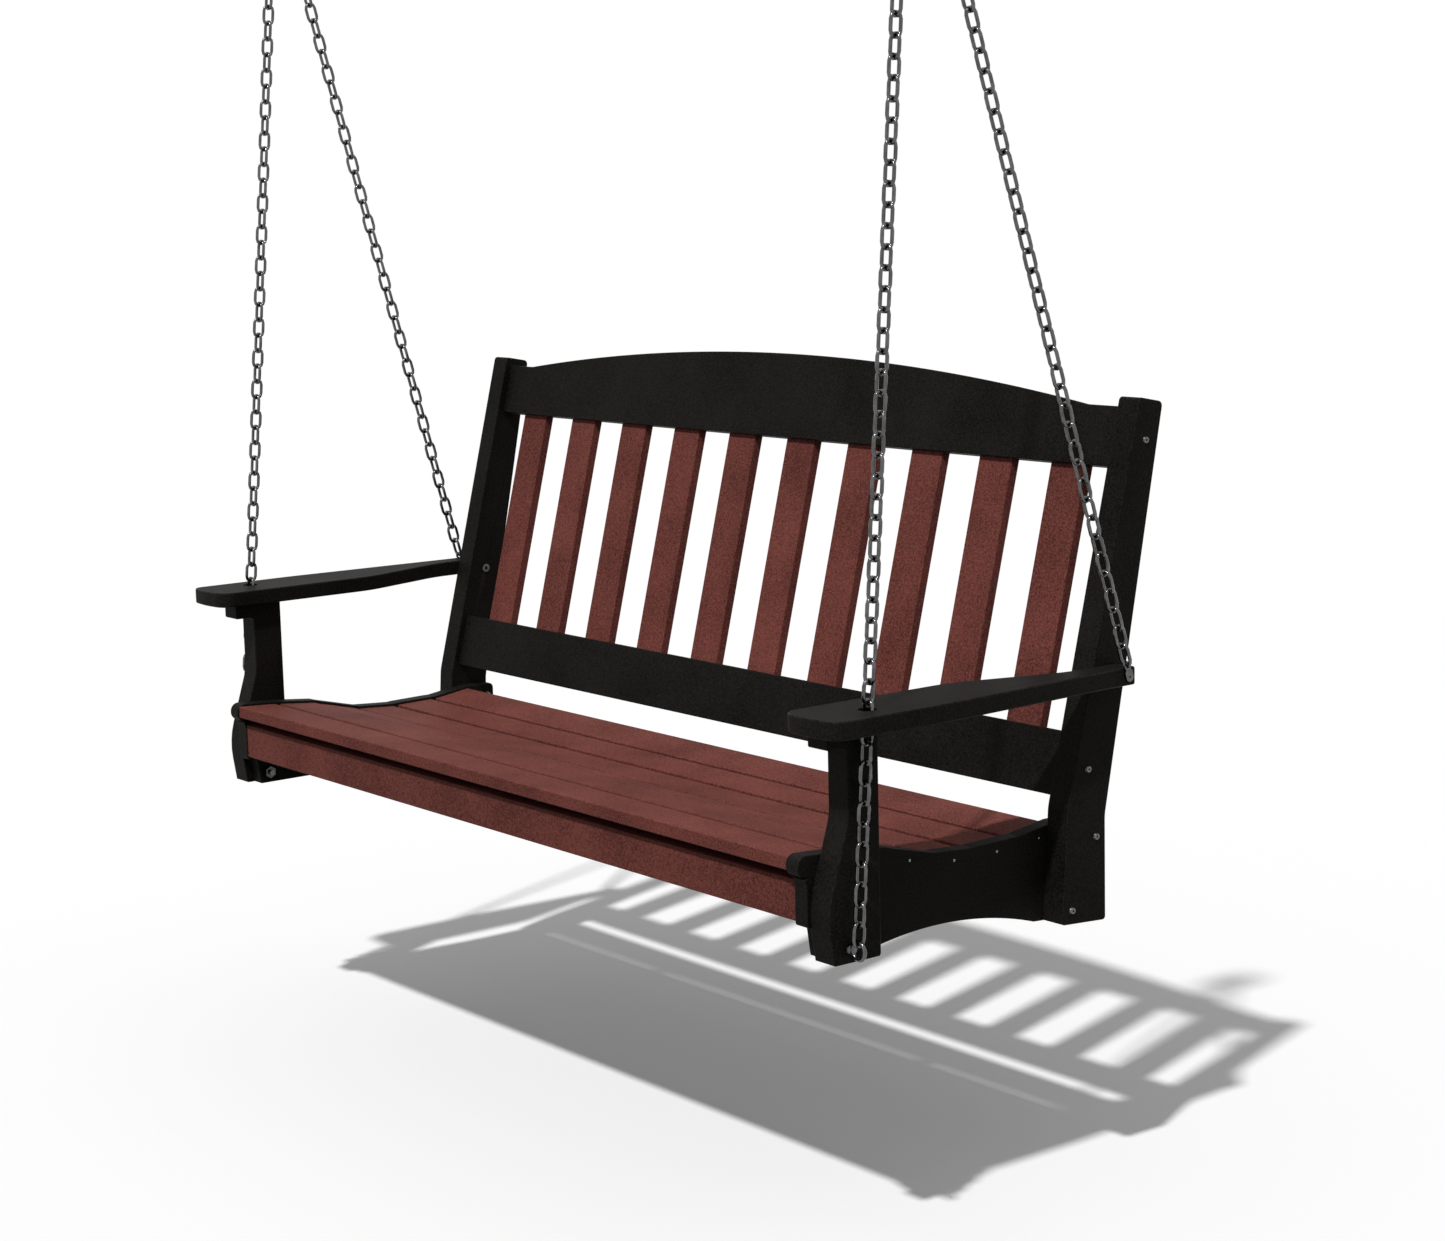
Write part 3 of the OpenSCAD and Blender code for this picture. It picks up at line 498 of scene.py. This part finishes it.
for side in SIDES:
    eased_board("arm_" + side, BLACK, "black_board", (0, 0, 1), ease=0.0025)
    eased_board("front_post_" + side, BLACK, "black_board", (1, 0, 0), sole_ease=0.0004)
    eased_board("back_post_" + side, BLACK, "black_board", (1, 0, 0))
    eased_board("seat_rail_" + side, BLACK, "black_board", (1, 0, 0), ease=0.0013)
    for screws, axis in SCREWS.items():
        screw_piece(screws + side, SCREW_STEEL, axis)
    for fitting, steel in FITTINGS.items():
        smooth_copy(fitting + side, steel, "steel")
eased_board("back_top_rail", BLACK, "black_board", BACK_NORMAL)
for board in ("back_bottom_rail", "front_stretcher", "rear_stretcher"):
    smooth_copy(board, BLACK, "black_board")
for side in SIDES:
    smooth_copy("seat_support_" + side, BLACK, "black_board")
screw_piece("support_screws", SCREW_STEEL, axis=1)
for board in ["front_apron"] + [node for node in body_of if "_slat_" in node]:
    smooth_copy(board, RED, "red_board")


# ---------------------------------------------------------------- chains

WIRE = 0.005
LINK_W = 0.011           # Clear width inside a link
LINK_PLAY = 0.0001
AROUND = 8               # Faces round the wire
BEND_STEPS = 5           # Steps along each half circle
# Degrees that each chain's lowest link is turned from the plane across the bench
FIRST_TURN = {"chain_front_": 90, "chain_rear_": 0}


def grid_faces(rows, columns):
    """Quads of a grid that closes both ways, row after row."""
    r, c = np.meshgrid(np.arange(rows), np.arange(columns), indexing="ij")
    below = (r + 1) % rows
    beside = (c + 1) % columns
    return np.stack(
        [r * columns + c, below * columns + c, below * columns + beside, r * columns + beside],
        axis=-1,
    ).reshape(-1, 4)


def link_points(inner_length):
    """One closed link along Z in the XZ plane, (row, place round the wire, xyz).

    Its centre line is two half circles of radius bend, whose middles lie half_leg up
    and down, joined by straight legs: x = bend cos(t), z = bend sin(t) +- half_leg.
    The wire's circle is spanned by the outward direction (cos t, 0, sin t) and by Y.
    """
    bend = (LINK_W + WIRE) / 2
    half_leg = (inner_length - LINK_W) / 2
    half_turn = np.linspace(0, math.pi, BEND_STEPS + 1)
    t = np.concatenate([half_turn, half_turn + math.pi])[:, None]
    leg = np.repeat([half_leg, -half_leg], BEND_STEPS + 1)[:, None]
    round_wire = np.linspace(0, 2 * math.pi, AROUND, endpoint=False)[None, :]
    reach = bend + WIRE / 2 * np.cos(round_wire)
    return np.stack(
        [reach * np.cos(t), WIRE / 2 * np.sin(round_wire) + 0 * t, reach * np.sin(t) + leg],
        axis=-1,
    )


def link_middles(node):
    """The middles of a CAD chain's links, from the lowest link up."""
    shape = merged(node)
    mesh = bpy.data.meshes.new(node + "_cad")
    shape.to_mesh(mesh)
    shape.free()
    _, middles = from_shell_middles(mesh)
    bpy.data.meshes.remove(mesh)
    return middles[np.argsort(middles[:, 2])]


def chain(node, first_turn):
    """The node's chain, with a link at the middle of each of the CAD's links.

    Links stand along the line from the lowest middle to the highest, a pitch apart, turned
    by first_turn plus a quarter turn for every other link.
    """
    middles = link_middles(node)
    count = len(middles)
    way = middles[-1] - middles[0]
    length = np.linalg.norm(way)
    pitch = length / (count - 1)
    along = way / length
    tip = Matrix.Rotation(-math.asin(along[1]), 3, "X")
    swing = Matrix.Rotation(math.atan2(along[0], along[2]), 3, "Y")
    link = link_points(pitch + LINK_PLAY)
    index = np.arange(count)
    turn = math.radians(first_turn) + index % 2 * math.pi / 2
    turned = np.zeros((count, 3, 3))
    turned[:, 0, 0] = turned[:, 1, 1] = np.cos(turn)
    turned[:, 0, 1], turned[:, 1, 0] = -np.sin(turn), np.sin(turn)
    turned[:, 2, 2] = 1
    points = np.einsum("nij,abj->nabi", turned, link)
    points[..., 2] += (index * pitch)[:, None, None]
    points = points @ np.array(swing @ tip).T + middles[0]
    rows, columns = link.shape[:2]
    faces = grid_faces(rows, columns)
    faces = (faces[None] + (index * rows * columns)[:, None, None]).reshape(-1, 4)
    mesh = bpy.data.meshes.new(node)
    mesh.from_pydata(points.reshape(-1, 3), [], faces.tolist())
    mesh.shade_smooth()
    new_piece(node + "_links", mesh, CHAIN_STEEL, "steel", body_of[node], node)


for run, first_turn in FIRST_TURN.items():
    for side in SIDES:
        chain(run + side, first_turn)


# ---------------------------------------------------------------- stage

FLOOR_Z = -1.9162        # 0.36 m under the posts' soles
FLOOR_REACH = 60.0
LIT = 0.35               # Sky's brightness
SUN_ANGLE = math.radians(2.2)
BENCH_SUN = 2.43
BENCH_SUN_WAY = Vector((-0.31, 0.62, -1.0))
FLOOR_SUN = 2.52
FLOOR_SUN_WAY = Vector((-0.27, 0.60, -1.0))
FLOOR_PAINT = 0.97       # As the camera sees it
FLOOR_BOUNCE = 0.05      # As it lights the boards from below
FLOOR_LIFT = 0.015       # Glow that keeps its shadow from going dark


def backdrop_seen(nodes):
    """1 for rays from the camera, a reflection or through glass, else 0."""
    camera = nodes.add("ShaderNodeLightPath", {}, {}, "Is Camera Ray")
    glossy = nodes.add("ShaderNodeLightPath", {}, {}, "Is Glossy Ray")
    through = nodes.add("ShaderNodeLightPath", {}, {}, "Is Transmission Ray")
    return camera.math("MAXIMUM", camera.math("MAXIMUM", camera, glossy), through)


def floor_varying(nodes):
    """The floor's paint: bright where it is seen, dim where it lights the bench."""
    seen = backdrop_seen(nodes)
    return {
        "Base Color": nodes.blend(seen, grey(FLOOR_BOUNCE), grey(FLOOR_PAINT)),
        "Emission Color": nodes.blend(seen, grey(0.0), grey(FLOOR_LIFT)),
    }


def pale_floor():
    """A square floor of reach FLOOR_REACH each way."""
    mesh = bpy.data.meshes.new("floor")
    corners = [(-1, -1), (1, -1), (1, 1), (-1, 1)]
    mesh.from_pydata(
        [(FLOOR_REACH * x, FLOOR_REACH * y, FLOOR_Z) for x, y in corners], [], [(0, 1, 2, 3)]
    )
    constants = {"Roughness": 1.0, "Specular IOR Level": 0.0, "Emission Strength": 1.0}
    mesh.materials.append(finish("floor_paint", constants, floor_varying))
    floor = bpy.data.objects.new("floor", mesh)
    bpy.context.scene.collection.objects.link(floor)
    return floor


def studio():
    """A world that shows white and lights the bench with LIT of that."""
    world = bpy.data.worlds.new("studio")
    world.use_nodes = True
    nodes = Nodes(world.node_tree)
    strength = backdrop_seen(nodes) * (1 - LIT) + LIT
    background = nodes.add("ShaderNodeBackground", {}, {"Color": grey(1.0), "Strength": strength})
    output = nodes.tree.nodes.new("ShaderNodeOutputWorld")
    nodes.tree.links.new(background.socket, output.inputs["Surface"])
    bpy.context.scene.world = world


def sun_lamp(name, energy, way, receivers):
    """A sun along way that lights the receivers alone. Everything casts shadows in it."""
    light = bpy.data.lights.new(name, "SUN")
    light.energy = energy
    light.angle = SUN_ANGLE
    lamp = bpy.data.objects.new(name, light)
    lamp.rotation_euler = way.to_track_quat("-Z", "Y").to_euler()
    bpy.context.scene.collection.objects.link(lamp)
    lit = bpy.data.collections.new(name + "_receivers")
    for receiver in receivers:
        lit.objects.link(receiver)
    lamp.light_linking.receiver_collection = lit


floor = pale_floor()
studio()
pieces = [thing for thing in bpy.data.objects if thing.type == "MESH" and thing != floor]
sun_lamp("bench_sun", BENCH_SUN, BENCH_SUN_WAY, pieces)
sun_lamp("floor_sun", FLOOR_SUN, FLOOR_SUN_WAY, [floor])

# The camera looks from the right of the front, from a little above
EYE = Vector((3.34348, -2.30920, -0.56360))
ROUND = math.radians(52.222)
ABOVE = math.radians(8.961)
ROLL = math.radians(-1.435)


def view_camera():
    """A camera at EYE, ROUND to the right of the front, looking down by ABOVE and turned
    by ROLL about its line of sight."""
    ahead = Vector((
        -math.sin(ROUND) * math.cos(ABOVE), math.cos(ROUND) * math.cos(ABOVE), -math.sin(ABOVE)
    ))
    level = Vector((math.cos(ROUND), math.sin(ROUND), 0.0))
    right = level * math.cos(ROLL) + level.cross(ahead) * math.sin(ROLL)
    up = right.cross(ahead)
    lens = bpy.data.cameras.new("camera")
    lens.sensor_fit = "HORIZONTAL"
    lens.sensor_width = 36.0
    lens.lens = 70.45
    lens.clip_end = 200.0
    camera = bpy.data.objects.new("camera", lens)
    camera.matrix_world = Matrix((
        (right.x, up.x, -ahead.x, EYE.x),
        (right.y, up.y, -ahead.y, EYE.y),
        (right.z, up.z, -ahead.z, EYE.z),
        (0, 0, 0, 1),
    ))
    bpy.context.scene.collection.objects.link(camera)
    return camera


bpy.context.scene.camera = view_camera()
bpy.context.scene.view_settings.view_transform = "Standard"
